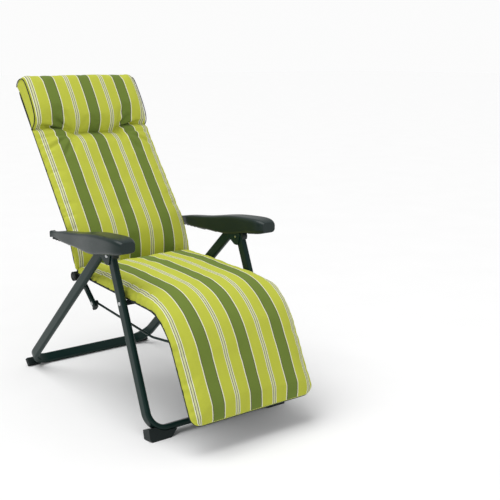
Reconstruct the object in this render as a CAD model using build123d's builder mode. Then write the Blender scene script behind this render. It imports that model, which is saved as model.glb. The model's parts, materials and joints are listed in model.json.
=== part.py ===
"""Reclining sun lounger: folding tube frame, sprung armrests and a striped cushion.

The lounger faces -Y and stands on Z = 0, symmetrical about X = 0. Side-view points are
(y, z) pairs in millimetres. The frame's points run from the foot end to the head end.
"""
from build123d import *
import os

os.makedirs("parts", exist_ok=True)

# ---- driving dimensions -------------------------------------------------------------
CENTRE_Y = 138.03         # moves the side view so that the whole lounger is centred on Y = 0


def at(y, z):
    """A side-view point, with y measured from the armrest pivots."""
    return (y - CENTRE_Y, z)


# side view of the folding frame
FOOT_END = at(-424, 104)       # middle of the footrest's lowest tube
SHIN = at(-308, 350)           # bend in the footrest's side tubes
KNEE = at(-240, 411)           # footrest hinge
HIP = at(300, 442)             # backrest hinge
LUMBAR = at(349, 578)          # bend in the backrest's side tubes
HEAD = at(722, 1086)           # middle of the backrest's top tube
LEVER = at(196, 348)           # lower end of the backrest's side tubes
LINK_BEND = at(-167, 321)
LINK_FRONT = at(-315, 335)

# side view of the legs
ARM_PIVOT = at(-3, 574)
REAR_PIVOT = at(42, 588)
SEAT_PIVOT = at(-73, 424)
FRONT_BAR = at(-229, 26)
REAR_BAR = at(682, 19)
FRONT_LEG_TOP = at(-10, 589)

# planes across the width, outwards from the middle
SEAT_X = 199.0            # seat rail
LINK_X = 212.0            # link rod
BACK_X = 225.0            # backrest and footrest side tubes
LEG_X = 268.0             # leg tubes

# tubes
LEG_W, LEG_D, LEG_R = 20.0, 40.0, 8.0      # flat-oval leg tube: across, deep, corner
RAIL_W, RAIL_D, RAIL_R = 14.0, 22.0, 6.0   # flat-oval seat, back and footrest tube
WALL = 1.5
TUBE_END = 8.0                             # tube left past a hinge pin at its end
FRONT_BEND, REAR_BEND = 62.0, 78.0
HEAD_BEND, FOOT_BEND = 45.0, 40.0
CROSS_R = 9.0
LINK_R = 4.0

# cushion and slings
PAD_HALF = 248.0
PAD_LOW, PAD_HIGH = 14.5, 46.5             # cushion's two faces, from the tube's middle
SLING_LOW, SLING_HIGH = 11.2, 12.6

PIN_R = 4.0
FIT = 0.05                                 # radial clearance of every pin in its hole


# ---- geometry helpers ---------------------------------------------------------------
def unit(p, q):
    dy, dz = q[0] - p[0], q[1] - p[1]
    size = (dy * dy + dz * dz) ** 0.5
    return dy / size, dz / size


def length(p, q):
    return ((q[0] - p[0]) ** 2 + (q[1] - p[1]) ** 2) ** 0.5


def beside(p, q, along, out):
    """The point `along` mm from p towards q, and `out` mm to the sitter's side."""
    uy, uz = unit(p, q)
    return (p[0] + along * uy - out * uz, p[1] + along * uz + out * uy)


def corner(p, q, r, out):
    """The mitred corner of the line p-q-r moved `out` mm to the sitter's side."""
    ay, az = unit(p, q)
    by, bz = unit(q, r)
    k = out / (1 + ay * by + az * bz)
    return (q[0] - k * (az + bz), q[1] + k * (ay + by))


def point(x, p):
    return (x, p[0], p[1])


def cylinder_x(radius, x_from, x_to, centre, mode=Mode.ADD):
    """A round bar along X; used inside a BuildPart block."""
    with BuildSketch(Plane.YZ.offset(min(x_from, x_to))) as circle:
        with Locations(centre):
            Circle(radius)
    extrude(circle.sketch, amount=abs(x_to - x_from), mode=mode)


def tube_profile(width, depth, radius):
    RectangleRounded(width, depth, radius)
    RectangleRounded(width - 2 * WALL, depth - 2 * WALL, radius - WALL, mode=Mode.SUBTRACT)


def upright_plane(low, high):
    """The plane through X and the line low-high: local x is X, local y runs up the line."""
    uy, uz = unit(low, high)
    return Plane(origin=point(0, low), x_dir=(1, 0, 0), z_dir=(0, -uz, uy))


def section_plane(x, p, q):
    """A plane across a tube that starts at p and runs towards q."""
    uy, uz = unit(p, q)
    return Plane(origin=point(x, p), x_dir=(1, 0, 0), z_dir=(0, uy, uz))


def u_tube(low, high, half, bend, width, depth, radius):
    """A U of tube in the plane low-high, open at the top; used inside a BuildPart."""
    rise = length(low, high)
    with BuildLine(upright_plane(low, high)) as path:
        FilletPolyline((-half, rise), (-half, 0), (half, 0), (half, rise), radius=bend)
    with BuildSketch(section_plane(-half, high, low)) as profile:
        tube_profile(width, depth, radius)
    sweep(profile.sketch, path=path.line)


def side_tube(x, points, radii, width, depth, radius):
    """A tube bent in the plane X = x; used inside a BuildPart."""
    with BuildLine() as path:
        FilletPolyline(*[point(x, p) for p in points], radius=radii)
    with BuildSketch(section_plane(x, points[0], points[1])) as profile:
        tube_profile(width, depth, radius)
    sweep(profile.sketch, path=path.line)


def slab(profile, x_from, x_to):
    """A side-view outline carried across the width; used inside a BuildPart."""
    with BuildSketch(Plane.YZ.offset(x_from)) as outline:
        with BuildLine():
            Polyline(*profile, close=True)
        make_face()
    extrude(outline.sketch, amount=x_to - x_from)


def finish(part, name):
    part.label = name
    export_step(part, "parts/" + name + ".step")


def finish_pair(part, name):
    """Write the sitter's right-hand part, on -X, and its mirror image."""
    finish(part, name + "_right")
    finish(mirror(part, about=Plane.YZ), name + "_left")


# ---- front legs ---------------------------------------------------------------------
with BuildPart() as front_leg_frame:
    u_tube(FRONT_BAR, FRONT_LEG_TOP, LEG_X, FRONT_BEND, LEG_W, LEG_D, LEG_R)
    cylinder_x(PIN_R + FIT, -300, 300, SEAT_PIVOT, mode=Mode.SUBTRACT)
    cylinder_x(PIN_R + FIT, -300, 300, ARM_PIVOT, mode=Mode.SUBTRACT)
finish(front_leg_frame.part, "front_leg_frame")

FOOT_SIDE = LEG_X + LEG_W / 2 + 3          # outer face of a front foot
FOOT_RISE = 10.0                           # height of the foot's side plate, up the leg
FOOT_REACH = 176.0                         # inner end of the foot, under the floor bar
FOOT_TAPER = 38.0                          # length over which a foot thins out to the bar
FOOT_WIDTH = 40.0


def foot_part(low, high, bend, side, rise, reach, depth, width):
    """A plastic foot that fills the outside of a leg's lower bend, flat on the floor."""
    hollow = bend + LEG_W / 2 + 0.1
    centre = (-LEG_X + bend, bend)
    with BuildPart() as foot:
        with BuildSketch(upright_plane(low, high).offset(-width / 2)):
            with BuildLine():
                Polyline(
                    (-side, rise), (-side - 3, -depth * 0.55), (-side + 8, -depth),
                    (-reach - FOOT_TAPER, -depth), (-reach, -LEG_W / 2 - 1), (-reach, 0),
                    (-LEG_X, rise), close=True)
            make_face()
            with Locations(centre):
                Circle(hollow, mode=Mode.SUBTRACT)
            with Locations((-LEG_X + bend + 150, bend)):
                Rectangle(300, 2 * hollow, mode=Mode.SUBTRACT)
        extrude(amount=width)
        fillet(foot.edges().filter_by(GeomType.LINE).group_by(Axis.X)[0], 3)
        split(bisect_by=Plane.XY, keep=Keep.TOP)
    return foot.part


finish_pair(
    foot_part(FRONT_BAR, FRONT_LEG_TOP, FRONT_BEND, FOOT_SIDE, FOOT_RISE, FOOT_REACH,
              44, FOOT_WIDTH),
    "front_foot")

# moulded cap on the front of each front leg's upper end
CAP_CENTRE = (ARM_PIVOT[0] - 20, ARM_PIVOT[1] + 5)
leg_angle = Vector(0, FRONT_LEG_TOP[0] - FRONT_BAR[0],
                   FRONT_LEG_TOP[1] - FRONT_BAR[1]).get_angle(Vector(0, 0, 1))
with BuildPart() as front_leg_cap:
    for side in (-1, 1):
        with BuildSketch(Plane.YZ.offset(side * LEG_X - 10.6)):
            with Locations(CAP_CENTRE):
                Circle(20)
            with Locations(Location((FRONT_LEG_TOP[0], FRONT_LEG_TOP[1], 0), (0, 0, -leg_angle))):
                Rectangle(LEG_D + 0.2, 240, align=(Align.CENTER, Align.MAX), mode=Mode.SUBTRACT)
            with Locations((ARM_PIVOT[0] + 30, ARM_PIVOT[1])):
                Rectangle(60, 60, mode=Mode.SUBTRACT)
        extrude(amount=21.2)
finish(front_leg_cap.part, "front_leg_caps")

# ear plates that join the front leg, the rear leg and the armrest on each side
EAR_OUTLINE = ((-26, 20), (50, 32), (58, 2), (8, -30), (-14, -30))
EAR_OUTER = (279.0, 281.5)
EAR_INNER = (254.5, 257.0)
with BuildPart() as ear_plate:
    for x_low, x_high in (EAR_OUTER, EAR_INNER):
        with BuildSketch(Plane.YZ.offset(-x_high)) as ear_sketch:
            with BuildLine():
                Polyline(*[(ARM_PIVOT[0] + y, ARM_PIVOT[1] + z) for y, z in EAR_OUTLINE],
                         close=True)
            make_face()
            fillet(ear_sketch.vertices(), 9)
            with Locations(ARM_PIVOT, REAR_PIVOT):
                Circle(PIN_R + FIT, mode=Mode.SUBTRACT)
        extrude(amount=x_high - x_low)
finish_pair(ear_plate.part, "ear_plates")


def pins(centre, x_in, x_out, head, name, head_h=2.4, shank=PIN_R):
    """A pair of riveted pins, one on each side, with a domed head at the outer end."""
    with BuildPart() as pin:
        for side in (-1, 1):
            with BuildSketch(Plane(origin=point(side * x_in, centre), x_dir=(0, 1, 0),
                                   z_dir=(side, 0, 0))):
                Circle(shank)
            extrude(amount=x_out - x_in)
            with BuildSketch(Plane(origin=point(side * x_out, centre), x_dir=(0, 1, 0),
                                   z_dir=(side, 0, 0))):
                Circle(head)
            extrude(amount=head_h, taper=32)
    finish(pin.part, name)


pins(REAR_PIVOT, 254.3, 281.6, 6.0, "rear_leg_pivots", head_h=1.0)
pins(ARM_PIVOT, 252.0, 281.6, 6.5, "armrest_pivots")
pins(SEAT_PIVOT, 193.0, 278.1, 6.5, "seat_pivot_bolts")

# ---- rear legs ----------------------------------------------------------------------
with BuildPart() as rear_leg_frame:
    rear_top = beside(REAR_BAR, REAR_PIVOT, length(REAR_BAR, REAR_PIVOT) + 10, 0)
    u_tube(REAR_BAR, rear_top, LEG_X, REAR_BEND, LEG_W, LEG_D, LEG_R)
    cylinder_x(PIN_R + FIT, -300, 300, REAR_PIVOT, mode=Mode.SUBTRACT)
finish(rear_leg_frame.part, "rear_leg_frame")

finish_pair(
    foot_part(REAR_BAR, REAR_PIVOT, REAR_BEND, LEG_X + LEG_W / 2 + 0.5, 4, 224, 17, 30),
    "rear_foot")

# ---- armrests -----------------------------------------------------------------------
# (y, inner x, outer x, underside, top, corner radius) along the armrest
ARM_SECTIONS = (
    (414, 259, 284, 572, 597, 6),
    (330, 256.5, 288, 572, 607, 7),
    (220, 253.5, 297, 571, 620, 9),
    (110, 251, 310, 571, 636, 11),
    (20, 250.5, 320, 578, 648, 12),
    (-60, 250.5, 325, 592, 653, 13),
    (-126, 250.5, 325, 601, 653, 14),
    (-156, 261, 315, 609, 645, 12),
)
POCKET = (at(-74, 560), at(128, 560), at(128, 598), at(70, 624), at(30, 633), at(-74, 636))
RACK_CHANNEL = (at(205, 560), at(402, 560), at(402, 582), at(205, 582))
RACK_NOTCH = 5.5
RACK_PITCH = 24.0
RACK_COUNT = 6

with BuildPart() as armrest:
    for y, x_in, x_out, z_low, z_high, radius in ARM_SECTIONS:
        middle = ((x_in + x_out) / 2, y - CENTRE_Y, (z_low + z_high) / 2)
        with BuildSketch(Plane(origin=(-middle[0], middle[1], middle[2]), x_dir=(1, 0, 0),
                               z_dir=(0, -1, 0))):
            RectangleRounded(x_out - x_in, z_high - z_low, radius)
    loft()
    for outline, x_from, x_to in ((POCKET, 253.4, 283.0), (RACK_CHANNEL, 263.5, 280.5)):
        with BuildSketch(Plane.YZ.offset(-x_to)):
            with BuildLine():
                Polyline(*outline, close=True)
            make_face()
        extrude(amount=x_to - x_from, mode=Mode.SUBTRACT)
finish_pair(armrest.part, "armrest")

# toothed rack in each armrest's underside, where the backrest's pins are caught
with BuildPart() as armrest_rack:
    slab((at(207, 568), at(400, 568), at(400, 581.9), at(207, 581.9)), -280, -264)
    for index in range(RACK_COUNT):
        notch = at(400 - RACK_PITCH * (index + 0.7), 569)
        cylinder_x(RACK_NOTCH, -281, -263, notch, mode=Mode.SUBTRACT)
finish_pair(armrest_rack.part, "armrest_rack")

# ---- seat ---------------------------------------------------------------------------
seat_length = length(KNEE, HIP)
with BuildPart() as seat_frame:
    for side in (-1, 1):
        low = beside(KNEE, HIP, -TUBE_END, 0)
        with BuildSketch(section_plane(side * SEAT_X, low, HIP)):
            tube_profile(RAIL_W, RAIL_D, RAIL_R)
        extrude(amount=seat_length + 2 * TUBE_END)
    for along in (38, 300, seat_length - 60):
        centre = beside(KNEE, HIP, along, 0)
        inner = SEAT_X - RAIL_W / 2
        cylinder_x(CROSS_R, -inner - 0.2, inner + 0.2, centre)
        cylinder_x(CROSS_R - WALL, -inner - 0.2, inner + 0.2, centre, mode=Mode.SUBTRACT)
    for hinge in (KNEE, SEAT_PIVOT, HIP):
        for side in (-1, 1):
            cylinder_x(PIN_R + FIT, side * 185, side * 215, hinge, mode=Mode.SUBTRACT)
finish(seat_frame.part, "seat_frame")

with BuildPart() as seat_sling:
    sling_in = SEAT_X + RAIL_W / 2
    slab((beside(KNEE, HIP, 8, SLING_LOW), beside(KNEE, HIP, seat_length - 24, SLING_LOW),
          beside(KNEE, HIP, seat_length - 24, SLING_HIGH), beside(KNEE, HIP, 8, SLING_HIGH)),
         -sling_in, sling_in)
finish(seat_sling.part, "seat_sling")

with BuildPart() as seat_pad:
    slab((beside(KNEE, HIP, 0, PAD_LOW), beside(KNEE, HIP, seat_length - 22, PAD_LOW),
          beside(KNEE, HIP, seat_length - 22, PAD_HIGH), beside(KNEE, HIP, 8, PAD_HIGH),
          beside(KNEE, HIP, -6, PAD_HIGH - 8)),
         -PAD_HALF, PAD_HALF)
finish(seat_pad.part, "seat_pad")


def bushes(centre, x_in, x_out, radius, name, bore=PIN_R + FIT):
    """A pair of round spacers, one on each side, with a pin through each."""
    with BuildPart() as bush:
        for side in (-1, 1):
            cylinder_x(radius, side * x_in, side * x_out, centre)
            cylinder_x(bore, side * x_in, side * x_out, centre, mode=Mode.SUBTRACT)
    finish(bush.part, name)


RAIL_OUT = SEAT_X + RAIL_W / 2
BACK_IN = BACK_X - RAIL_W / 2
BACK_OUT = BACK_X + RAIL_W / 2
LEG_IN = LEG_X - LEG_W / 2
bushes(SEAT_PIVOT, RAIL_OUT + 0.1, LEG_IN - 0.3, 9, "seat_pivot_spacers")
bushes(HIP, RAIL_OUT + 0.1, BACK_IN - 0.3, 10, "back_hinge_bushes")
bushes(KNEE, RAIL_OUT + 0.1, BACK_IN - 0.3, 9, "knee_bushes")

pins(HIP, 193.0, 240.0, 7.0, "back_hinge_bolts")
pins(KNEE, 193.0, BACK_OUT + 0.2, 8.0, "knee_bolts")

# round black knobs over the backrest hinges
KNOB_R = 17.0
with BuildPart() as knobs:
    for side in (-1, 1):
        face = Plane(origin=point(side * (BACK_OUT + 0.4), HIP), x_dir=(0, 1, 0),
                     z_dir=(side, 0, 0))
        with BuildSketch(face):
            Circle(KNOB_R)
        extrude(amount=22)
        with BuildSketch(face.offset(19)):
            Circle(KNOB_R - 4)
            Circle(KNOB_R - 8, mode=Mode.SUBTRACT)
        extrude(amount=3, mode=Mode.SUBTRACT)
        with BuildSketch(face.offset(-1)):
            Circle(7.5)
        extrude(amount=12, mode=Mode.SUBTRACT)
finish(knobs.part, "back_hinge_knobs")

# ---- backrest -----------------------------------------------------------------------
back_length = length(LUMBAR, HEAD)
FLAT = 150.0                                # straight stretch left for the head bends
split_point = beside(LUMBAR, HEAD, back_length - FLAT, 0)
PIN_AT = beside(HIP, LUMBAR, 118, 0)        # locking pins on the side tubes
with BuildPart() as backrest_frame:
    for side in (-1, 1):
        side_tube(side * BACK_X, (LEVER, HIP, LUMBAR, split_point), (30, 60),
                  RAIL_W, RAIL_D, RAIL_R)
    u_tube(HEAD, split_point, BACK_X, HEAD_BEND, RAIL_W, RAIL_D, RAIL_R)
    for along, out in ((150, -2), (390, -2)):
        centre = beside(LUMBAR, HEAD, along, out)
        cylinder_x(CROSS_R, -BACK_IN - 0.2, BACK_IN + 0.2, centre)
        cylinder_x(CROSS_R - WALL, -BACK_IN - 0.2, BACK_IN + 0.2, centre, mode=Mode.SUBTRACT)
    for hinge in (HIP, LEVER, PIN_AT):
        where = hinge if hinge != LEVER else beside(LEVER, HIP, 14, 0)
        for side in (-1, 1):
            cylinder_x(PIN_R + FIT, side * 210, side * 240, where, mode=Mode.SUBTRACT)
finish(backrest_frame.part, "backrest_frame")

with BuildPart() as back_sling:
    slab((beside(HIP, LUMBAR, 56, SLING_LOW), corner(HIP, LUMBAR, HEAD, SLING_LOW),
          beside(LUMBAR, HEAD, back_length - 12, SLING_LOW),
          beside(LUMBAR, HEAD, back_length - 12, SLING_HIGH),
          corner(HIP, LUMBAR, HEAD, SLING_HIGH), beside(HIP, LUMBAR, 56, SLING_HIGH)),
         -BACK_OUT, BACK_OUT)
finish(back_sling.part, "back_sling")

with BuildPart() as back_pad:
    slab((beside(HIP, LUMBAR, 52, PAD_LOW), corner(HIP, LUMBAR, HEAD, PAD_LOW),
          beside(LUMBAR, HEAD, back_length + 8, PAD_LOW),
          beside(LUMBAR, HEAD, back_length + 18, PAD_HIGH - 10),
          beside(LUMBAR, HEAD, back_length + 18, PAD_HIGH),
          corner(HIP, LUMBAR, HEAD, PAD_HIGH), beside(HIP, LUMBAR, 52, PAD_HIGH)),
         -PAD_HALF, PAD_HALF)
finish(back_pad.part, "back_pad")

# (along, out) outline of the headrest pillow, from the lumbar bend up the back
PILLOW = ((428, 46.7), (446, 70), (486, 80), (560, 84), (624, 84), (648, 74), (652, 46.7))
with BuildPart() as headrest_pillow:
    slab([beside(LUMBAR, HEAD, along, out) for along, out in PILLOW], -PAD_HALF, PAD_HALF)
finish(headrest_pillow.part, "headrest_pillow")

# fabric hood that hangs the cushion on the top of the backrest
HOOD = ((back_length + 9.2, 12.9), (back_length + 9.2, -14), (470, -14), (470, -12),
        (back_length + 8, -12), (back_length + 8, 12.9))
with BuildPart() as cushion_hood:
    slab([beside(LUMBAR, HEAD, along, out) for along, out in HOOD], -BACK_OUT, BACK_OUT)
finish(cushion_hood.part, "cushion_hood")

pins(PIN_AT, 214.0, 246.0, 4.0, "back_lock_pins", head_h=4.0)

# plastic caps on the lower ends of the backrest's side tubes
with BuildPart() as lever_caps:
    for side in (-1, 1):
        with BuildSketch(section_plane(side * BACK_X, LEVER, HIP).offset(-7)):
            RectangleRounded(RAIL_W + 3, RAIL_D + 4, RAIL_R)
        extrude(amount=6.9)
        with BuildSketch(section_plane(side * BACK_X, LEVER, HIP).offset(-0.2)):
            RectangleRounded(RAIL_W - 2 * WALL - 0.2, RAIL_D - 2 * WALL - 0.2, RAIL_R - WALL)
        extrude(amount=7.5)
finish(lever_caps.part, "lever_caps")

# ---- footrest -----------------------------------------------------------------------
shin_length = length(FOOT_END, SHIN)
thigh_length = length(SHIN, KNEE)
with BuildPart() as footrest_frame:
    start = beside(SHIN, KNEE, thigh_length + TUBE_END, 0)
    shin_split = beside(FOOT_END, SHIN, 90, 0)
    for side in (-1, 1):
        side_tube(side * BACK_X, (start, SHIN, shin_split), 50, RAIL_W, RAIL_D, RAIL_R)
    u_tube(FOOT_END, shin_split, BACK_X, FOOT_BEND, RAIL_W, RAIL_D, RAIL_R)
    for hinge in (KNEE, LINK_FRONT):
        for side in (-1, 1):
            cylinder_x(PIN_R + FIT, side * 210, side * 240, hinge, mode=Mode.SUBTRACT)
finish(footrest_frame.part, "footrest_frame")

with BuildPart() as footrest_sling:
    slab((beside(FOOT_END, SHIN, 4, SLING_LOW), corner(FOOT_END, SHIN, KNEE, SLING_LOW),
          beside(SHIN, KNEE, thigh_length - 12, SLING_LOW),
          beside(SHIN, KNEE, thigh_length - 12, SLING_HIGH),
          corner(FOOT_END, SHIN, KNEE, SLING_HIGH), beside(FOOT_END, SHIN, 4, SLING_HIGH)),
         -BACK_OUT, BACK_OUT)
finish(footrest_sling.part, "footrest_sling")

with BuildPart() as legrest_pad:
    slab((beside(FOOT_END, SHIN, -9, PAD_LOW), corner(FOOT_END, SHIN, KNEE, PAD_LOW),
          beside(SHIN, KNEE, thigh_length, PAD_LOW),
          beside(SHIN, KNEE, thigh_length, PAD_HIGH - 3),
          corner(FOOT_END, SHIN, KNEE, PAD_HIGH - 3), beside(FOOT_END, SHIN, -9, PAD_HIGH - 8)),
         -PAD_HALF, PAD_HALF)
finish(legrest_pad.part, "legrest_pad")

# ---- link rods between backrest and footrest ----------------------------------------
LINK_REAR = beside(LEVER, HIP, 14, 0)
EYE_R = 8.5
with BuildPart() as link_rods:
    for side in (-1, 1):
        x = side * LINK_X
        start = beside(LINK_REAR, LINK_BEND, EYE_R - 2, 0)
        end = beside(LINK_FRONT, LINK_BEND, EYE_R - 2, 0)
        with BuildLine():
            FilletPolyline(point(x, start), point(x, LINK_BEND), point(x, end), radius=90)
        with BuildSketch(section_plane(x, start, LINK_BEND)):
            Circle(LINK_R)
        sweep()
        for eye in (LINK_REAR, LINK_FRONT):
            cylinder_x(EYE_R, x - 3, x + 3, eye)
        cylinder_x(PIN_R + FIT, x - 6, x + 6, LINK_REAR, mode=Mode.SUBTRACT)
finish(link_rods.part, "link_rods")
pins(LINK_REAR, LINK_X - 4, BACK_OUT + 0.2, 6.5, "link_rear_pins")
pins(LINK_FRONT, LINK_X + 4.5, BACK_OUT + 0.2, 6.5, "link_front_pins")
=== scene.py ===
"""Looks of the reclining sun lounger: cushion, slings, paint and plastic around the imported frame."""

import json
import math

import bpy
import numpy as np
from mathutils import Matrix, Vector, noise


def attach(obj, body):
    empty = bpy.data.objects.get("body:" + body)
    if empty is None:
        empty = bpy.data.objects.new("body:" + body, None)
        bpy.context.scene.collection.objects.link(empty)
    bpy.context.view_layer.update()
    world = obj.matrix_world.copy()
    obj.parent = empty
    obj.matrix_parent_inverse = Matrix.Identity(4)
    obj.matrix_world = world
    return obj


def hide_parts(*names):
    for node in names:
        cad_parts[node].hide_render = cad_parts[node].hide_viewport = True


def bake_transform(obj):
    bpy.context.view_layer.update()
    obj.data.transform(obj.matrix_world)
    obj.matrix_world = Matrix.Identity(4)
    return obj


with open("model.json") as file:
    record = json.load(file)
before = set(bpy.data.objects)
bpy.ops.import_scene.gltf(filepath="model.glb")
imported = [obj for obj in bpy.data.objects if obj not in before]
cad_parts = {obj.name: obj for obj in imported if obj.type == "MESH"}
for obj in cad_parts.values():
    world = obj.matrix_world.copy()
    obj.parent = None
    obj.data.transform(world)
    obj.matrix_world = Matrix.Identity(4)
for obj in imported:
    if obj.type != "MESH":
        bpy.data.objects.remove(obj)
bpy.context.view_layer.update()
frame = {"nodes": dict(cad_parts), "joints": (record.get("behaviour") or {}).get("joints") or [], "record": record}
joints = {joint["name"]: joint for joint in frame["joints"]}

# ---- side view, in metres: (y, z) ----------------------------------------------------
HIP = tuple(joints["back_recline"]["pos_m"][1:])
KNEE = tuple(joints["footrest_raise"]["pos_m"][1:])
LUMBAR = (HIP[0] + 0.049, HIP[1] + 0.136)
HEAD = (HIP[0] + 0.422, HIP[1] + 0.644)
SHIN = (KNEE[0] - 0.068, KNEE[1] - 0.061)
FOOT_END = (KNEE[0] - 0.184, KNEE[1] - 0.307)

TUBE_HALF = 0.011          # half the depth of the seat, back and footrest tubes
PAD_LOW = 0.0142           # underside of the cushion, out from the tube's middle
HALF_WIDTH = 0.247         # half the cushion's width
CELL = 0.0095              # size of a cloth cell
SWELL = 0.012              # most that a cloth point may move in the simulation
EDGE_HOLD = 0.35           # pin weight of the rolled side edges
BACKING_LEVEL = PAD_LOW + 0.004   # below this the cushion shows its backing cloth
FOLD_LEVEL = PAD_LOW + 0.003      # folds and puckers stay above this
EDGE_OUT = PAD_LOW + 0.0005       # middle of the dark edge roll, out from the tubes
EDGE_SIDE = HALF_WIDTH - 0.0025   # and its distance from the cushion's middle
STRIPE = 0.075             # distance from a green stripe's middle to the next cream one's


class SideLine:
    """A smooth side-view line through the given corners, read by distance along it."""

    def __init__(self, corners, rounding):
        steps = 400
        pts = []
        for a, b in zip(corners[:-1], corners[1:]):
            count = max(2, int(math.dist(a, b) / sum_length(corners) * steps))
            for i in range(count):
                pts.append((a[0] + (b[0] - a[0]) * i / count, a[1] + (b[1] - a[1]) * i / count))
        pts.append(corners[-1])
        pts = np.array(pts)
        gap = sum_length(corners) / len(pts)
        reach = max(1, int(rounding / gap))
        kernel = np.hanning(2 * reach + 1)
        kernel /= kernel.sum()
        first, last = pts[0], pts[-1]
        head = np.array([first + (first - pts[1]) * k for k in range(reach, 0, -1)])
        tail = np.array([last + (last - pts[-2]) * k for k in range(1, reach + 1)])
        padded = np.vstack([head, pts, tail])
        self.pts = np.stack([np.convolve(padded[:, k], kernel, "valid") for k in (0, 1)], 1)
        seg = np.linalg.norm(np.diff(self.pts, axis=0), axis=1)
        self.at = np.concatenate([[0], np.cumsum(seg)])
        self.length = self.at[-1]

    def place(self, along, out):
        """(y, z) of a point `along` the line and `out` to the sitter's side of it."""
        eps = 0.002
        mid = self._read(along)
        d = self._read(along + eps) - self._read(along - eps)
        d /= np.linalg.norm(d)
        return mid[0] - out * d[1], mid[1] + out * d[0]

    def _read(self, along):
        inside = min(max(along, 0), self.length)
        p = np.array([np.interp(inside, self.at, self.pts[:, k]) for k in (0, 1)])
        if along < 0:
            d = self.pts[1] - self.pts[0]
            return p + d / np.linalg.norm(d) * along
        if along > self.length:
            d = self.pts[-1] - self.pts[-2]
            return p + d / np.linalg.norm(d) * (along - self.length)
        return p


def sum_length(corners):
    return sum(math.dist(a, b) for a, b in zip(corners[:-1], corners[1:]))


def smooth(low, high, value):
    t = min(max((value - low) / (high - low), 0), 1)
    return t * t * (3 - 2 * t)


SEAT_LINE = SideLine([FOOT_END, SHIN, KNEE, HIP], 0.07)
BACK_LINE = SideLine([HIP, LUMBAR, HEAD], 0.08)
LEG_LENGTH = math.dist(FOOT_END, SHIN) + math.dist(SHIN, KNEE)


# ---- mesh helpers --------------------------------------------------------------------
def new_object(name, verts, faces):
    mesh = bpy.data.meshes.new(name)
    mesh.from_pydata(verts, [], faces)
    mesh.update()
    obj = bpy.data.objects.new(name, mesh)
    bpy.context.scene.collection.objects.link(obj)
    for poly in mesh.polygons:
        poly.use_smooth = True
    return obj


def select_only(obj):
    for other in bpy.context.selected_objects:
        other.select_set(False)
    obj.select_set(True)
    bpy.context.view_layer.objects.active = obj


def apply_modifier(obj, name):
    select_only(obj)
    bpy.ops.object.modifier_apply(modifier=name)


def subdivide(obj):
    mod = obj.modifiers.new("subdivide", "SUBSURF")
    mod.levels = 1
    mod.render_levels = 1
    apply_modifier(obj, mod.name)


def coords(obj):
    co = np.zeros(len(obj.data.vertices) * 3)
    obj.data.vertices.foreach_get("co", co)
    return co.reshape(-1, 3)


def set_coords(obj, co):
    obj.data.vertices.foreach_set("co", co.reshape(-1))
    obj.data.update()


def thicken(obj, thickness):
    """Give an open sheet its cloth's thickness, half to each side."""
    mod = obj.modifiers.new("thick", "SOLIDIFY")
    mod.thickness = thickness
    mod.offset = 0
    apply_modifier(obj, mod.name)


def fix_normals(obj):
    select_only(obj)
    bpy.ops.object.mode_set(mode="EDIT")
    bpy.ops.mesh.select_all(action="SELECT")
    bpy.ops.mesh.normals_make_consistent(inside=False)
    bpy.ops.object.mode_set(mode="OBJECT")


def store(obj, name, values):
    """Keep one vector or number per vertex in the mesh, for the materials."""
    kind = "FLOAT_VECTOR" if values.ndim == 2 else "FLOAT"
    attribute = obj.data.attributes.get(name) or obj.data.attributes.new(name, kind, "POINT")
    attribute.data.foreach_set("vector" if values.ndim == 2 else "value",
                               values.astype(np.float32).reshape(-1))


def read(obj, name, width):
    attribute = obj.data.attributes[name]
    out = np.zeros(len(obj.data.vertices) * width, np.float32)
    attribute.data.foreach_get("vector" if width == 3 else "value", out)
    return out.reshape(-1, width).astype(float)


def tube(name, path, radius, sides=8):
    """A round mesh tube along a list of points, closed at both ends."""
    pts = [Vector(p) for p in path]
    count = len(pts)
    verts, faces = [], []
    side = None
    for i, p in enumerate(pts):
        d = (pts[min(i + 1, count - 1)] - pts[max(i - 1, 0)]).normalized()
        if side is None:
            side = d.orthogonal().normalized()
        side = (side - d * side.dot(d)).normalized()
        up = d.cross(side)
        for k in range(sides):
            a = 2 * math.pi * k / sides
            verts.append(p + (side * math.cos(a) + up * math.sin(a)) * radius)
    for i in range(count - 1):
        j = i + 1
        for k in range(sides):
            m = (k + 1) % sides
            faces.append((i * sides + k, i * sides + m, j * sides + m, j * sides + k))
    faces.append(tuple(reversed(range(sides))))
    faces.append(tuple((count - 1) * sides + k for k in range(sides)))
    return new_object(name, [tuple(v) for v in verts], faces)


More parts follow.
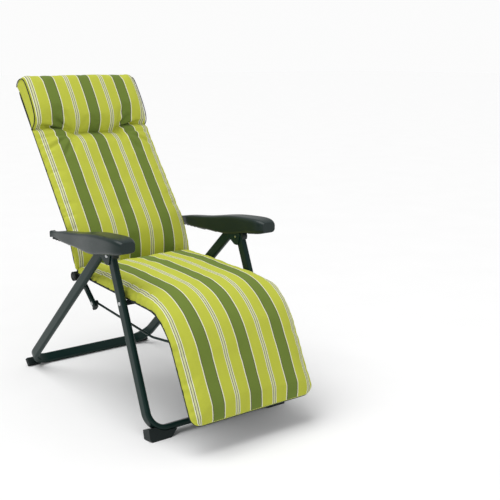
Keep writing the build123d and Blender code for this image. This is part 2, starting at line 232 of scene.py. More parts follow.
# ---- node material helpers -----------------------------------------------------------
class Nodes:
    """Short calls for building a node material."""

    def __init__(self, name):
        self.material = bpy.data.materials.new(name)
        self.material.use_nodes = True
        self.tree = self.material.node_tree
        self.shader = self.tree.nodes["Principled BSDF"]

    def node(self, kind, **settings):
        node = self.tree.nodes.new(kind)
        for key, value in settings.items():
            setattr(node, key, value)
        return node

    def link(self, source, target):
        self.tree.links.new(source, target)

    def value(self, target, source):
        if isinstance(source, (int, float, tuple)):
            target.default_value = source
        else:
            self.link(source, target)

    def math(self, operation, a, b=0.0):
        node = self.node("ShaderNodeMath", operation=operation)
        self.value(node.inputs[0], a)
        self.value(node.inputs[1], b)
        return node.outputs[0]

    def noise(self, vector, scale, detail, roughness=0.5):
        node = self.node("ShaderNodeTexNoise")
        node.inputs["Scale"].default_value = scale
        node.inputs["Detail"].default_value = detail
        node.inputs["Roughness"].default_value = roughness
        self.link(vector, node.inputs["Vector"])
        return node.outputs["Fac"]

    def grey(self, tone):
        node = self.node("ShaderNodeCombineColor")
        for k in range(3):
            self.link(tone, node.inputs[k])
        return node.outputs[0]

    def ramp(self, factor, stops, mode="LINEAR"):
        node = self.node("ShaderNodeValToRGB")
        node.color_ramp.interpolation = mode
        while len(node.color_ramp.elements) < len(stops):
            node.color_ramp.elements.new(0.5)
        for element, (position, colour) in zip(node.color_ramp.elements, stops):
            element.position = position
            element.color = (*colour, 1)
        self.link(factor, node.inputs[0])
        return node.outputs[0]

    def mix(self, factor, a, b, blend="MIX"):
        node = self.node("ShaderNodeMix", data_type="RGBA", blend_type=blend)
        self.value(node.inputs[0], factor)
        self.value(node.inputs[6], (*a, 1) if isinstance(a, tuple) else a)
        self.value(node.inputs[7], (*b, 1) if isinstance(b, tuple) else b)
        return node.outputs[2]

    def span(self, source, low, high):
        node = self.node("ShaderNodeMapRange")
        self.link(source, node.inputs[0])
        node.inputs[3].default_value = low
        node.inputs[4].default_value = high
        return node.outputs[0]

    def scaled(self, vector, scale):
        node = self.node("ShaderNodeMapping")
        node.inputs["Scale"].default_value = scale
        self.link(vector, node.inputs["Vector"])
        return node.outputs[0]

    def place(self):
        return self.node("ShaderNodeTexCoord").outputs["Object"]

    def bump(self, height, strength, distance):
        node = self.node("ShaderNodeBump")
        node.inputs["Strength"].default_value = strength
        node.inputs["Distance"].default_value = distance
        self.link(height, node.inputs["Height"])
        self.link(node.outputs[0], self.shader.inputs["Normal"])

    def fixed(self, **values):
        for key, value in values.items():
            self.shader.inputs[key.replace("_", " ")].default_value = value


LIME = (0.500, 0.535, 0.058)
GREEN = (0.150, 0.212, 0.036)
WHITE = (0.78, 0.79, 0.58)
CREAM = (0.62, 0.64, 0.34)
TAUPE = (0.110, 0.112, 0.066)
CANVAS_THREAD = 0.0013     # pitch of the canvas's weave


def cushion_fabric():
    """Striped canvas: broad green bands and fine cream lines on lime, with a plain weave."""
    n = Nodes("cushion_canvas")
    cloth = n.node("ShaderNodeAttribute", attribute_name="cloth").outputs["Vector"]
    axes = n.node("ShaderNodeSeparateXYZ")
    n.link(cloth, axes.inputs[0])
    across, along = axes.outputs[0], axes.outputs[1]
    drift = n.noise(n.scaled(cloth, (3, 14, 1)), 1.0, 2)
    wander = n.math("MULTIPLY", n.math("SUBTRACT", drift, 0.5), 0.0022)
    folded = n.math("PINGPONG", n.math("ADD", across, wander), STRIPE)
    share = n.math("DIVIDE", folded, STRIPE)
    stripes = n.ramp(share, [
        (0.0, GREEN), (0.262, TAUPE), (0.298, WHITE), (0.342, LIME),
        (0.885, WHITE), (0.924, TAUPE), (0.957, CREAM)], "CONSTANT")
    slub = n.noise(n.scaled(cloth, (60, 900, 1)), 1.0, 3)
    patch = n.noise(n.scaled(cloth, (9, 5, 1)), 1.0, 3)
    tone = n.math("ADD", n.span(slub, -0.10, 0.10), n.span(patch, 0.93, 1.07))
    colour = n.mix(1.0, stripes, n.grey(tone), "MULTIPLY")
    n.link(colour, n.shader.inputs["Base Color"])
    n.fixed(Roughness=0.86, Sheen_Weight=0.04, Sheen_Roughness=0.5, Specular_IOR_Level=0.15)
    turn = 2 * math.pi / CANVAS_THREAD
    weave = n.math("MULTIPLY", n.math("SINE", n.math("MULTIPLY", across, turn)),
                   n.math("SINE", n.math("MULTIPLY", along, turn)))
    height = n.math("ADD", n.math("MULTIPLY", weave, 0.35), n.math("MULTIPLY", slub, 0.5))
    n.bump(height, 0.35, 0.0004)
    return n.material


def dark_cloth(name, colour, thread):
    """Near-black green woven cloth: the cushion's back, its piping and the slings."""
    n = Nodes(name)
    place = n.place()
    axes = n.node("ShaderNodeSeparateXYZ")
    n.link(place, axes.inputs[0])
    turn = 2 * math.pi / thread
    warp = n.math("SINE", n.math("MULTIPLY", axes.outputs[0], turn))
    weft = n.math("SINE", n.math("MULTIPLY", n.math("ADD", axes.outputs[1], axes.outputs[2]), turn))
    weave = n.math("MULTIPLY", warp, weft)
    worn = n.noise(n.scaled(place, (6, 6, 6)), 1.0, 3)
    base = n.mix(n.span(worn, 0, 0.6), colour, tuple(min(1, c * 2.2) for c in colour))
    tone = n.span(weave, 0.55, 1.25)
    n.link(n.mix(1.0, base, n.grey(tone), "MULTIPLY"), n.shader.inputs["Base Color"])
    n.fixed(Roughness=0.8, Specular_IOR_Level=0.3, Sheen_Weight=0.08)
    n.bump(weave, 0.5, 0.0004)
    return n.material


def enamel():
    """Dark green powder coat: slight orange peel, a little dust and rubbed spots."""
    n = Nodes("frame_enamel")
    place = n.place()
    cloud = n.noise(place, 14.0, 4)
    peel = n.noise(place, 900.0, 2)
    speck = n.noise(place, 160.0, 5, 0.7)
    base = n.mix(n.span(cloud, 0, 1), (0.004, 0.018, 0.015), (0.007, 0.026, 0.022))
    rubbed = n.ramp(speck, [(0.0, (0, 0, 0)), (0.66, (0, 0, 0)), (0.74, (0.5, 0.5, 0.5))])
    n.link(n.mix(rubbed, base, (0.030, 0.060, 0.054)), n.shader.inputs["Base Color"])
    n.link(n.span(cloud, 0.27, 0.42), n.shader.inputs["Roughness"])
    n.fixed(Specular_IOR_Level=0.20)
    n.bump(n.math("ADD", n.math("MULTIPLY", peel, 0.6), n.math("MULTIPLY", speck, 0.25)),
           0.12, 0.0006)
    return n.material


def moulded(name, low, high, rough_low, rough_high, grain):
    """Moulded plastic with a fine spark-eroded grain and slight handling marks."""
    n = Nodes(name)
    place = n.place()
    cloud = n.noise(place, 11.0, 4)
    fine = n.noise(place, 1500.0, 2)
    scuff = n.noise(n.scaled(place, (240, 18, 60)), 1.0, 4, 0.65)
    n.link(n.mix(n.span(cloud, 0, 1), low, high), n.shader.inputs["Base Color"])
    rough = n.math("ADD", n.span(cloud, rough_low, rough_high), n.span(scuff, -0.05, 0.07))
    n.link(rough, n.shader.inputs["Roughness"])
    n.fixed(Specular_IOR_Level=0.32)
    n.bump(fine, grain, 0.0004)
    return n.material


def zinc():
    """Zinc-plated steel with faint turning marks."""
    n = Nodes("zinc_plate")
    place = n.place()
    marks = n.noise(n.scaled(place, (30, 900, 900)), 1.0, 3)
    cloud = n.noise(place, 90.0, 3)
    n.link(n.mix(n.span(cloud, 0, 1), (0.42, 0.43, 0.44), (0.62, 0.63, 0.63)),
           n.shader.inputs["Base Color"])
    n.link(n.span(marks, 0.28, 0.48), n.shader.inputs["Roughness"])
    n.fixed(Metallic=1.0)
    n.bump(marks, 0.15, 0.0003)
    return n.material


def paint_node(name, material):
    obj = frame["nodes"][name]
    obj.data.materials.clear()
    obj.data.materials.append(material)


# ---- cushion -------------------------------------------------------------------------
def cushion_mesh(name, line, start, stop, top, corners):
    """A closed pad along a side line. top(along, x) gives its upper face, out from the tubes.
    corners are the rounding radii, seen from above, at its start and its stop.

    Every ring across the pad has the same points: the upper face, the rolled edge, the
    lower face and the other rolled edge. The ends are rolled shut."""
    edge, steps = 0.016, 4
    half, low = HALF_WIDTH, PAD_LOW
    rows = max(4, int((stop - start) / CELL))
    columns = int(2 * (half - edge) / CELL)
    ends = 0.016
    alongs = list(np.linspace(start, stop, rows + 1))
    alongs[1:1] = [start + ends * 0.12, start + ends * 0.4]
    alongs[-1:-1] = [stop - ends * 0.4, stop - ends * 0.12]
    alongs.sort()
    verts, cloth = [], []
    for along in alongs:
        near = min(along - start, stop - along)
        full = 1.0 if near >= ends else math.sqrt(max(1 - (1 - near / ends) ** 2, 0.02))
        thick = top(along, 0) - low
        trim = half - 0.006 * (1 - full)
        for radius, gap in ((corners[0], along - start), (corners[1], stop - along)):
            if gap < radius:
                trim -= radius - math.sqrt(radius ** 2 - (radius - gap) ** 2 * 0.98)
        ring = []
        for i in range(columns + 1):
            x = -(trim - edge) + 2 * (trim - edge) * i / columns
            ring.append((x, top(along, x), x))
        rim = top(along, trim - edge)
        drop = min(edge, (rim - low) * 0.55)
        for k in range(1, steps + 1):
            a = math.pi / 2 * k / steps
            x = trim - edge + edge * math.sin(a)
            ring.append((x, rim - drop + drop * math.cos(a), trim - edge + edge * a))
        for k in range(0, steps + 1):
            a = math.pi / 2 * k / steps
            x = trim - 0.006 + 0.006 * math.cos(a)
            ring.append((x, low + (rim - drop - low) * 0.3 * (1 - math.sin(a)),
                         trim + 0.012 + 0.006 * a))
        bottom = [(x, low, 2 * trim + 0.02 - x) for x in np.linspace(trim - edge, -(trim - edge),
                                                                     columns + 1)]
        left = [(-x, n, -u) for x, n, u in ring[columns + 1:]][::-1]
        ring = ring + bottom + left
        middle = low + thick * 0.42
        for x, n, u in ring:
            y, z = line.place(along, middle + (n - middle) * full)
            verts.append((x, y, z))
            cloth.append((u, along, n))
    size = len(ring)
    faces = []
    for r in range(len(alongs) - 1):
        for k in range(size):
            m = (k + 1) % size
            faces.append((r * size + k, r * size + m, (r + 1) * size + m, (r + 1) * size + k))
    side = 2 * steps + 1
    low_start = columns + 1 + side
    for base, flip in ((0, True), ((len(alongs) - 1) * size, False)):
        cap = []
        for i in range(columns):
            j = low_start + columns - i
            cap.append((i, i + 1, j - 1, j))
        cap.append(tuple(range(columns, low_start + 1)))
        cap.append(tuple([low_start + columns] + list(range(low_start + columns + 1, size)) + [0]))
        for face in cap:
            face = tuple(base + k for k in face)
            faces.append(face if not flip else face[::-1])
    obj = new_object(name, verts, faces)
    fix_normals(obj)
    store(obj, "cloth", np.array(cloth))
    return obj


PRESSURE = 4.0             # pushes the cloth outwards in the simulation
GROW = 0.012               # share by which the cloth may grow
FRAMES = 20                # length of the simulation


def inflate(obj, held, limit=SWELL):
    """Swell a closed pad with a short cloth simulation. held is a pin weight per vertex."""
    before = coords(obj)
    group = obj.vertex_groups.new(name="held")
    for index, weight in enumerate(held):
        if weight > 0:
            group.add([index], float(weight), "REPLACE")
    cloth = obj.modifiers.new("cloth", "CLOTH")
    cloth.settings.quality = 5
    cloth.settings.mass = 0.25
    cloth.settings.tension_stiffness = 12
    cloth.settings.compression_stiffness = 12
    cloth.settings.shear_stiffness = 4
    cloth.settings.bending_stiffness = 0.4
    cloth.settings.use_pressure = True
    cloth.settings.uniform_pressure_force = PRESSURE
    cloth.settings.shrink_min = -GROW
    cloth.settings.vertex_group_mass = "held"
    cloth.settings.pin_stiffness = 1.0
    cloth.settings.effector_weights.gravity = 0
    cloth.collision_settings.use_self_collision = False
    cloth.point_cache.frame_start = 1
    cloth.point_cache.frame_end = FRAMES
    scene = bpy.context.scene
    for step in range(1, FRAMES + 1):
        scene.frame_set(step)
    apply_modifier(obj, "cloth")
    scene.frame_set(1)
    after = coords(obj)
    move = after - before
    size = np.linalg.norm(move, axis=1, keepdims=True)
    move *= np.minimum(1, limit / np.maximum(size, 1e-9))
    set_coords(obj, before + move)
    obj.vertex_groups.clear()


def hold_pad(cloth):
    """Pin weights of a pad: its underside is sewn down, its side edges give a little."""
    held = np.where(cloth[:, 2] < PAD_LOW + 0.0015, 1.0, 0.0)
    return np.maximum(held, np.where(np.abs(cloth[:, 0]) > HALF_WIDTH - 0.006, EDGE_HOLD, 0.0))


def along_normal(obj, amount):
    """Move each vertex along its own normal by amount (metres, one per vertex)."""
    normals = np.zeros(len(obj.data.vertices) * 3)
    obj.data.vertices.foreach_get("normal", normals)
    set_coords(obj, coords(obj) + normals.reshape(-1, 3) * amount[:, None])


def crease(across, along, a, b, width, depth):
    """A fold from a to b, both (across, along): depth below zero is a valley."""
    d = np.array(b) - np.array(a)
    size = np.linalg.norm(d)
    d = d / size
    u, v = across - a[0], along - a[1]
    t = (u * d[0] + v * d[1]) / size
    off = -u * d[1] + v * d[0]
    reach = 0.25
    fade = np.clip((t + reach * 0.4) / (reach * 0.8), 0, 1) * np.clip((1 - t) / reach + 0.4, 0, 1)
    fade = np.where((t > -reach) & (t < 1 + reach * 0.4), fade, 0)
    fade = np.clip(fade, 0, 1)
    return depth * np.exp(-(off / width) ** 2) * fade


def wrinkle_noise(across, along, scale, seed):
    """Soft, stretched noise for the small puckers of stuffed canvas."""
    out = np.zeros(len(across))
    for i in range(len(across)):
        p = Vector((across[i] * scale[0], along[i] * scale[1], seed))
        out[i] = noise.noise(p)
    return out


def two_tone(obj, face, back, level):
    """Give the faces below `level` (out from the tubes) the second material."""
    obj.data.materials.append(face)
    obj.data.materials.append(back)
    out = read(obj, "cloth", 3)[:, 2]
    for poly in obj.data.polygons:
        if max(out[v] for v in poly.vertices) < level:
            poly.material_index = 1


canvas = cushion_fabric()
backing = dark_cloth("cushion_backing", (0.012, 0.020, 0.018), 0.0016)
sling_cloth = dark_cloth("sling_mesh", (0.016, 0.026, 0.024), 0.0032)


def crown_at(x):
    """Share of the pad's crown at x: full in the middle, none at the sides."""
    return 1 - abs(x / HALF_WIDTH) ** 3.5


def rim_share(across):
    """1 at the cushion's side edges, falling off within about 2 cm."""
    return np.exp(-((np.abs(across) - HALF_WIDTH) / 0.020) ** 2)


LEG_FACE, SEAT_RISE, HEAP_RISE = 0.032, 0.006, 0.008    # heights of the face, out from the tubes


def seat_top(along, x):
    """Upper face of the seat and leg part of the cushion, before it swells."""
    seat = smooth(LEG_LENGTH - 0.12, LEG_LENGTH + 0.10, along)
    heap = seat * (1 - smooth(SEAT_LINE.length - 0.24, SEAT_LINE.length - 0.04, along))
    base = LEG_FACE + SEAT_RISE * seat + HEAP_RISE * heap
    return base + (0.006 + 0.005 * heap) * crown_at(x)


SEAT_STOP = SEAT_LINE.length - 0.020
seat_cushion = cushion_mesh("seat_cushion", SEAT_LINE, -0.009, SEAT_STOP, seat_top,
                            (0.034, 0.010))
cloth = read(seat_cushion, "cloth", 3)
inflate(seat_cushion, hold_pad(cloth))
subdivide(seat_cushion)
cloth = read(seat_cushion, "cloth", 3)
u, s, out = cloth[:, 0], cloth[:, 1], cloth[:, 2]
rim = rim_share(u)
pucker = wrinkle_noise(u, s, (18, 62), 3.1) * 0.0036 * rim * np.where(u < 0, 1.0, 0.35)
pucker += wrinkle_noise(u, s, (9, 22), 7.7) * 0.0022 * (out > BACKING_LEVEL)
# short folds along both side edges, deeper on the -X side
for k in range(9):
    where = LEG_LENGTH + 0.02 + 0.058 * k
    lean = 0.02 * math.sin(2.3 * k)
    for side in (-1, 1):
        pucker += crease(u, s, (side * 0.262, where + lean), (side * 0.205, where - lean * 0.6),
                         0.006, -0.0042 if side < 0 else -0.0015)
pucker = np.where(out > FOLD_LEVEL, pucker, 0)
along_normal(seat_cushion, pucker)
two_tone(seat_cushion, canvas, backing, BACKING_LEVEL)

# ---- back part of the cushion --------------------------------------------------------
SEAM_MID, SEAM_SIDE = 0.420, 0.450      # the pillow's lower seam, beyond the lumbar bend
BACK_START = 0.018
LUMBAR_AT = math.dist(HIP, LUMBAR)
BACK_TOP = BACK_LINE.length + 0.004


def seam_at(x):
    """Where the head pillow's lower edge lies: low in the middle, stepping up at the sides."""
    return LUMBAR_AT + SEAM_MID + (SEAM_SIDE - SEAM_MID) * smooth(0.080, 0.150, abs(x))


BACK_FACE, BACK_RISE, BACK_CROWN = 0.022, 0.010, 0.011
UNDER_PILLOW = 0.0185      # where the back's face lies beneath the head pillow


def back_top(along, x):
    """Upper face of the back cushion: it thins out where the head pillow is sewn on."""
    lower = smooth(BACK_START - 0.01, BACK_START + 0.05, along)
    base = BACK_FACE + BACK_RISE * lower + BACK_CROWN * crown_at(x) * lower
    dip = smooth(seam_at(x) - 0.022, seam_at(x) - 0.001, along)
    return base - dip * (base - UNDER_PILLOW)


back_cushion = cushion_mesh("back_cushion", BACK_LINE, BACK_START, BACK_TOP, back_top,
                            (0.010, 0.020))
cloth = read(back_cushion, "cloth", 3)
sewn = np.array([a > seam_at(x) - 0.004 for x, a in zip(cloth[:, 0], cloth[:, 1])])
inflate(back_cushion, np.maximum(hold_pad(cloth), np.where(sewn, 1.0, 0.0)))
subdivide(back_cushion)
cloth = read(back_cushion, "cloth", 3)
u, s, out = cloth[:, 0], cloth[:, 1], cloth[:, 2]
rim = rim_share(u)
fold = wrinkle_noise(u, s, (18, 60), 11.3) * 0.0034 * rim * np.where(u < 0, 1.0, 0.35)
fold += wrinkle_noise(u, s, (10, 20), 5.2) * 0.0020
# folds that fan out below the two steps of the pillow's seam: where each one ends (across,
# and along from the lumbar bend), its width and its depth
for side, lift in ((-1, 0.0), (1, 0.006)):
    corner_at = (side * 0.104, LUMBAR_AT + SEAM_MID - 0.013 + lift)
    for to_x, to_s, width, depth in (
            (0.225, 0.345, 0.0085, -0.0080), (0.243, 0.400, 0.0075, -0.0060),
            (0.165, 0.310, 0.0080, -0.0065), (0.205, 0.365, 0.0085, 0.0060),
            (0.150, 0.345, 0.0075, 0.0045), (0.122, 0.322, 0.0070, -0.0040),
            (0.100, 0.345, 0.0065, -0.0030)):
        fold += crease(u, s, corner_at, (side * to_x, LUMBAR_AT + to_s), width, depth)
# short folds along both side edges, as on the seat
for k in range(8):
    where = LUMBAR_AT - 0.05 + 0.060 * k
    for side in (-1, 1):
        fold += crease(u, s, (side * 0.262, where), (side * 0.212, where + 0.014 * math.cos(k)),
                       0.006, -0.0035 if side < 0 else -0.0012)
fold = np.where(out > FOLD_LEVEL, fold, 0)
along_normal(back_cushion, fold)
two_tone(back_cushion, canvas, backing, BACKING_LEVEL)


# ---- head pillow: a roll sewn on the back's upper end --------------------------------
PILLOW_FRONT = ((0.000, 0.014), (0.002, 0.034), (0.010, 0.053), (0.032, 0.069), (0.070, 0.0790),
                (0.115, 0.0840), (0.160, 0.0860), (0.196, 0.0850), (0.216, 0.0780),
                (0.228, 0.0640), (0.230, 0.0440), (0.225, 0.0270), (0.214, 0.0150))
PILLOW_TOP = 0.652         # its upper end, beyond the lumbar bend
PILLOW_LOW = 0.016         # the level of its back, out from the tubes
PILLOW_HALF = 0.2475       # half its width at the back
NARROWING = 0.035          # share by which the pillow narrows from its back to its front
END_PUFF = 0.84            # share of its depth and height that the pillow keeps at its ends
END_HEIGHT = 0.955
AROUND, COLUMNS = 46, 54   # points round its front and strips across it


def pillow_outline(count):
    """Points (along from the lower seam, out) round the pillow's side view."""
    front = np.array(PILLOW_FRONT)
    seg = np.concatenate([[0], np.cumsum(np.linalg.norm(np.diff(front, axis=0), axis=1))])
    t = np.linspace(0, seg[-1], count)
    spread = np.stack([np.interp(t, seg, front[:, k]) for k in (0, 1)], 1)
    for _ in range(3):
        spread[1:-1] = 0.25 * spread[:-2] + 0.5 * spread[1:-1] + 0.25 * spread[2:]
    back = np.stack([np.linspace(front[-1, 0], front[0, 0], count // 2 + 1)[1:-1],
                     np.full(count // 2 - 1, 0.0150)], 1)
    return spread, back


def narrow(n):
    """The pillow's width at the distance n out from the tubes, as a share of its full width."""
    return 1 - NARROWING * smooth(PILLOW_LOW, 0.080, n)


def pillow_mesh():
    front, back = pillow_outline(AROUND)
    columns = COLUMNS
    verts, cloth = [], []
    total = front[-1, 0]
    for i in range(columns + 1):
        x = -PILLOW_HALF + 2 * PILLOW_HALF * i / columns
        end = min(1, (PILLOW_HALF - abs(x)) / 0.034)
        full = math.sqrt(max(0, 1 - (1 - end) ** 2))
        puff = END_PUFF + (1 - END_PUFF) * full
        puff *= 1 - 0.045 * abs(x / PILLOW_HALF) ** 4
        low = seam_at(x)
        stretch = (LUMBAR_AT + PILLOW_TOP - low) / total * (END_HEIGHT + (1 - END_HEIGHT) * full)
        run = 0.0
        ring = []
        last = None
        for a, n in front:
            if last is not None:
                run += math.dist(last, (a, n))
            last = (a, n)
            ring.append((low + a * stretch, PILLOW_LOW + (n - PILLOW_LOW) * puff, run))
        for a, n in back:
            ring.append((low + a * stretch, n, run + 0.02))
        for a, n, r in ring:
            y, z = BACK_LINE.place(a, n)
            verts.append((x * narrow(n), y, z))
            cloth.append((x * narrow(n), low + r, n))
    size = len(front) + len(back)
    faces = []
    for i in range(columns):
        for k in range(size):
            m = (k + 1) % size
            faces.append((i * size + k, (i + 1) * size + k, (i + 1) * size + m, i * size + m))
    # close each end with strips between the front and the back of the outline
    f, b = len(front), len(back)
    for column in (0, columns):
        base = column * size
        rows_front = list(range(f))
        rows_back = [0] + [size - 1 - k for k in range(b)] + [f - 1]
        i = j = 0
        while i < f - 1 or j < len(rows_back) - 1:
            ti = (i + 1) / (f - 1) if i < f - 1 else 2
            tj = (j + 1) / (len(rows_back) - 1) if j < len(rows_back) - 1 else 2
            if ti <= tj:
                face = (rows_front[i], rows_front[i + 1], rows_back[j])
                i += 1
            else:
                face = (rows_front[i], rows_back[j + 1], rows_back[j])
                j += 1
            if len(set(face)) == 3:
                faces.append(tuple(base + k for k in face))
    obj = new_object("head_pillow", verts, faces)
    fix_normals(obj)
    store(obj, "cloth", np.array(cloth))
    return obj


head_pillow = pillow_mesh()
cloth = read(head_pillow, "cloth", 3)
held = np.where(cloth[:, 2] < 0.020, 1.0, 0.0)
ends = np.array([abs(a) > 0.2455 * narrow(n) for a, n in zip(cloth[:, 0], cloth[:, 2])])
held = np.maximum(held, np.where(ends, 0.5, 0.0))
inflate(head_pillow, held, limit=0.007)
subdivide(head_pillow)
cloth = read(head_pillow, "cloth", 3)
u, s, out = cloth[:, 0], cloth[:, 1], cloth[:, 2]
fold = wrinkle_noise(u, s, (7, 9), 2.2) * 0.0022
fold += wrinkle_noise(u, s, (22, 60), 9.1) * 0.0016 * np.exp(-((np.abs(u) - 0.247) / 0.02) ** 2)
# folds that fan out above the same two steps, as (across, along from the seam, width, depth)
for side in (-1, 1):
    for to_x, to_s, width, depth in (
            (0.165, 0.085, 0.0090, -0.0080), (0.225, 0.052, 0.0085, -0.0075),
            (0.125, 0.100, 0.0085, -0.0040), (0.198, 0.070, 0.0090, 0.0060),
            (0.145, 0.098, 0.0080, 0.0040)):
        fold += crease(u, s, (side * 0.100, LUMBAR_AT + SEAM_MID + 0.018), (side * to_x,
                       LUMBAR_AT + SEAM_MID + to_s), width, depth)
fold = np.where(out > 0.020, fold, 0)
along_normal(head_pillow, fold)
head_pillow.data.materials.append(canvas)


# ---- piping and backing edge ---------------------------------------------------------
def edge_roll(name, line, start, stop, radius, out, half):
    """A rolled edge along both sides and one end of a pad, in the dark backing cloth."""
    path = []
    bend = 0.035
    steps = int((stop - start) / 0.02)
    for i in range(steps + 1):
        path.append((-half, stop - (stop - start - bend) * i / steps))
    for k in range(1, 9):
        a = math.pi / 2 * k / 8
        path.append((-half + bend - bend * math.cos(a), start + bend - bend * math.sin(a)))
    for i in range(1, 24):
        path.append((-half + bend + (2 * half - 2 * bend) * i / 24, start))
    path += [(-x, a) for x, a in path[:steps + 9]][::-1]
    points = []
    for x, along in path:
        y, z = line.place(along, out)
        points.append((x, y, z))
    obj = tube(name, points, radius)
    obj.data.materials.append(backing)
    return obj


seat_edge = edge_roll("seat_cushion_edge", SEAT_LINE, -0.0075, SEAT_STOP - 0.01, 0.0034,
                      EDGE_OUT, EDGE_SIDE)
back_edge = edge_roll("back_cushion_edge", BACK_LINE, BACK_START, BACK_TOP - 0.034, 0.0030,
                      EDGE_OUT, EDGE_SIDE)


PIPING_AT, PIPING_RADIUS = 0.2482, 0.0018


def pillow_piping(side):
    """A thin dark cord round one end of the head pillow."""
    front, _ = pillow_outline(AROUND)
    x = PIPING_AT
    low = seam_at(x)
    stretch = (LUMBAR_AT + PILLOW_TOP - low) / front[-1, 0] * END_HEIGHT
    points = []
    for a, n in front:
        level = PILLOW_LOW + (n - PILLOW_LOW) * END_PUFF * 0.965
        y, z = BACK_LINE.place(low + a * stretch, level)
        points.append((side * x * narrow(level), y, z))
    obj = tube("pillow_piping_" + ("left" if side > 0 else "right"), points, PIPING_RADIUS)
    obj.data.materials.append(backing)
    return obj


pipings = [pillow_piping(side) for side in (-1, 1)]

# ---- slings --------------------------------------------------------------------------
SLING_THICKNESS = 0.0011


def sling(name, line, start, stop, tube_x, sag):
    """Cloth stretched over the side tubes, wrapped round them, sagging a little between."""
    width = []
    radius = TUBE_HALF + 0.0009
    for k in range(7):
        a = math.radians(-60 + 150 * k / 6)
        width.append((tube_x + 0.0080 * math.cos(a), radius * math.sin(a)))
    span = 30
    for i in range(1, span):
        x = tube_x * (1 - 2 * i / span)
        width.append((x, radius - sag * (1 - (x / tube_x) ** 2)))
    width += [(-x, n) for x, n in width[:7]][::-1]
    rows = int((stop - start) / 0.02)
    verts, faces = [], []
    for r in range(rows + 1):
        along = start + (stop - start) * r / rows
        for x, n in width:
            y, z = line.place(along, n)
            verts.append((x, y, z))
    size = len(width)
    for r in range(rows):
        for k in range(size - 1):
            faces.append((r * size + k, r * size + k + 1, (r + 1) * size + k + 1,
                          (r + 1) * size + k))
    obj = new_object(name, verts, faces)
    flat_width = sum(math.dist(a, b) for a, b in zip(width[:-1], width[1:]))
    thicken(obj, SLING_THICKNESS)
    obj.data.materials.append(sling_cloth)
    return obj, flat_width


seat_sling, seat_flat = sling("seat_sling_cloth", SEAT_LINE, LEG_LENGTH + 0.012,
                              SEAT_LINE.length - 0.028, 0.199, 0.010)
leg_sling, leg_flat = sling("footrest_sling_cloth", SEAT_LINE, 0.046, LEG_LENGTH - 0.018,
                            0.225, 0.008)
back_sling, back_flat = sling("back_sling_cloth", BACK_LINE, 0.060, BACK_LINE.length - 0.052,
                              0.225, 0.010)

# ---- hood behind the headrest --------------------------------------------------------
HOOD_WIDTH = 0.436
HOOD_THICKNESS = 0.0014


def hood():
    """The flap that hangs the cushion over the top tube and down the back of the frame."""
    profile = [(BACK_LINE.length + 0.010, 0.030), (BACK_LINE.length + 0.0125, 0.012),
               (BACK_LINE.length + 0.012, -0.004), (BACK_LINE.length + 0.004, -0.0135),
               (BACK_LINE.length - 0.020, -0.0150)]
    for k in range(1, 11):
        profile.append((BACK_LINE.length - 0.020 - 0.0135 * k, -0.0150 + 0.0012 * math.sin(k * 0.9)))
    columns = 60
    verts, cloth, faces = [], [], []
    for r, (along, n) in enumerate(profile):
        for i in range(columns + 1):
            x = HOOD_WIDTH * (i / columns - 0.5)
            ease = 0.0015 * math.sin(x * 55) * smooth(4, 14, r)
            y, z = BACK_LINE.place(along, n - ease)
            verts.append((x, y, z))
            cloth.append((x, along - 2 * n, 0.03))
    for r in range(len(profile) - 1):
        for i in range(columns):
            a = r * (columns + 1) + i
            faces.append((a, a + 1, a + columns + 2, a + columns + 1))
    obj = new_object("hood_cloth", verts, faces)
    store(obj, "cloth", np.array(cloth))
    thicken(obj, HOOD_THICKNESS)
    obj.data.materials.append(canvas)
    length = sum(math.dist(a, b) for a, b in zip(profile[:-1], profile[1:]))
    return obj, length


hood_cloth, hood_length = hood()

# ---- paint, plastic and metal --------------------------------------------------------
green_enamel = enamel()
arm_plastic = moulded("armrest_plastic", (0.005, 0.015, 0.014), (0.008, 0.021, 0.019),
                      0.28, 0.38, 0.14)
black_plastic = moulded("black_plastic", (0.004, 0.009, 0.009), (0.009, 0.017, 0.016),
                        0.42, 0.58, 0.25)
zinc_plate = zinc()
finishes = {"frame_paint": green_enamel, "armrest_plastic": arm_plastic,
            "black_plastic": black_plastic, "zinc_steel": zinc_plate,
            "sling_fabric": sling_cloth, "cushion_fabric": canvas}
for part in frame["record"]["subparts"]:
    paint_node(part["node"], finishes[part["material_slot"]])

# ---- riding on the bodies, and hiding the replaced parts -----------------------------
def on_line(line, along, out=0.0):
    y, z = line.place(along, out)
    return (0, y, z)


for piece in (seat_cushion, seat_edge):
    on_line(SEAT_LINE, LEG_LENGTH + 0.055)
    on_line(SEAT_LINE, LEG_LENGTH - 0.075)
    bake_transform(piece)
for piece in (back_cushion, back_edge):
    on_line(BACK_LINE, 0.005)
    on_line(BACK_LINE, 0.105)
    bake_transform(piece)
for piece in [head_pillow, hood_cloth, back_sling] + pipings:
    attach(piece, "backrest")
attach(seat_sling, "seat")
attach(leg_sling, "footrest")

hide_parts("seat_pad", "legrest_pad")
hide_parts("back_pad")
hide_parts("headrest_pillow")
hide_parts("cushion_hood")
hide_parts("seat_sling")
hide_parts("footrest_sling")
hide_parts("back_sling")

# ---- floor, light and camera ---------------------------------------------------------
WORLD_LIGHT, WORLD_SEEN = 0.55, 0.97    # the world as a light, and as the camera sees it


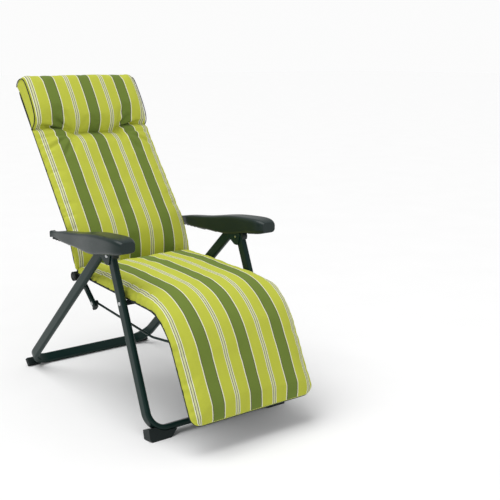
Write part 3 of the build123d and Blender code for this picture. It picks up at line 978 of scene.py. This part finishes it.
def studio():
    """A pale paper floor that runs into a pale backdrop, a broad sun and a soft panel."""
    far = 60
    floor = new_object("floor", [(-far, -far, 0), (far, -far, 0), (far, far, 0), (-far, far, 0)],
                       [(0, 1, 2, 3)])
    n = Nodes("floor_paper")
    n.link(n.mix(n.noise(n.place(), 3.0, 3), (0.90, 0.90, 0.90), (0.93, 0.93, 0.93)),
           n.shader.inputs["Base Color"])
    n.fixed(Roughness=0.9)
    floor.data.materials.append(n.material)
    world = bpy.data.worlds.new("studio")
    world.use_nodes = True
    tree = world.node_tree
    background = tree.nodes["Background"]
    background.inputs[0].default_value = (1, 1, 1, 1)
    paths = tree.nodes.new("ShaderNodeLightPath")
    level = tree.nodes.new("ShaderNodeMapRange")
    level.inputs[3].default_value = WORLD_LIGHT
    level.inputs[4].default_value = WORLD_SEEN
    tree.links.new(paths.outputs["Is Camera Ray"], level.inputs[0])
    tree.links.new(level.outputs[0], background.inputs[1])
    bpy.context.scene.world = world
    bpy.context.scene.view_settings.view_transform = "Standard"

    light = bpy.data.lights.new("key", "SUN")
    light.energy = 1.8
    light.angle = math.radians(50)
    key = bpy.data.objects.new("key", light)
    key.rotation_euler = Vector((0.36, -0.16, -1.0)).to_track_quat("-Z", "Y").to_euler()
    bpy.context.scene.collection.objects.link(key)
    light = bpy.data.lights.new("head_light", "AREA")
    light.shape = "RECTANGLE"
    light.size, light.size_y = 1.0, 0.7
    light.energy = 4.5
    panel = bpy.data.objects.new("head_light", light)
    panel.location = (-0.45, -0.75, 2.0)
    aim = Vector((0, 0.25, 0.85)) - panel.location
    panel.rotation_euler = aim.to_track_quat("-Z", "Y").to_euler()
    bpy.context.scene.collection.objects.link(panel)


def camera():
    """The camera that the product picture of such a lounger is taken with."""
    data = bpy.data.cameras.new("camera")
    data.lens = 64.8
    data.sensor_width = 36
    obj = bpy.data.objects.new("camera", data)
    turn, tilt = math.radians(38.0), math.radians(12.07)
    obj.location = (-1.699, -2.728, 1.217)
    look = Vector((math.sin(turn) * math.cos(tilt), math.cos(turn) * math.cos(tilt),
                   -math.sin(tilt)))
    obj.rotation_euler = look.to_track_quat("-Z", "Y").to_euler()
    bpy.context.scene.collection.objects.link(obj)
    bpy.context.scene.camera = obj


studio()
camera()
